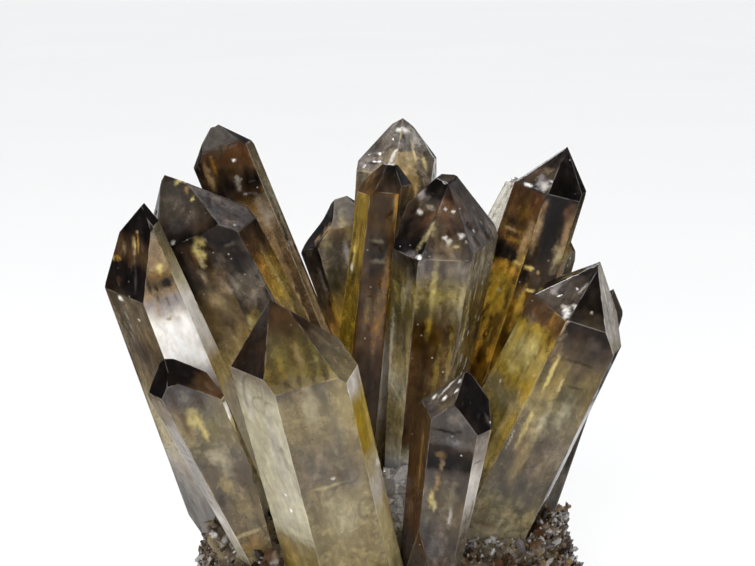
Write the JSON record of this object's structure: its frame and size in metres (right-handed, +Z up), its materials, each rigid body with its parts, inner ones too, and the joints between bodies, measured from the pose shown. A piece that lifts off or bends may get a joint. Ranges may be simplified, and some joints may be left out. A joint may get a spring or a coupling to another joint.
{
  "type": "morion quartz crystal cluster",
  "caption": "Free-standing cluster of long smoky quartz crystals with pointed caps, fanning out of a druse-covered rock matrix with a flat sawn base.",
  "frame": {"origin": "centre of the flat sawn underside of the matrix", "axes": "+Z up, out of the base towards the crystal tips; -Y towards the front, where the broad pale crystal stands; +X to the right seen from the front"},
  "size_m": [0.153, 0.1207, 0.15],
  "materials": {
    "smoky_quartz_pale": "glossy natural crystal faces, hazy pale body under near-black caps",
    "smoky_quartz_golden": "glossy natural crystal faces, golden to olive body under dark brown caps",
    "smoky_quartz_dark": "glossy natural crystal faces, brown-black body with golden glints",
    "matrix_rock": "rough brown rock covered with a sparkling crust of small quartz points"
  },
  "bodies": {
    "root": {"crystal_front_left_large": "smoky_quartz_pale", "crystal_far_left_tall": "smoky_quartz_dark", "crystal_left_broad": "smoky_quartz_dark", "crystal_back_left_tall": "smoky_quartz_dark", "crystal_back_dark": "smoky_quartz_dark", "crystal_centre_back_pair": "smoky_quartz_golden", "crystal_centre_cloudy": "smoky_quartz_pale", "crystal_right_back_group": "smoky_quartz_golden", "crystal_right_large": "smoky_quartz_golden", "crystal_right_edge_dark": "smoky_quartz_dark", "crystal_small_left_front": "smoky_quartz_pale", "crystal_small_right_front": "smoky_quartz_pale", "matrix_druse": "matrix_rock"}
  },
  "joints": []
}
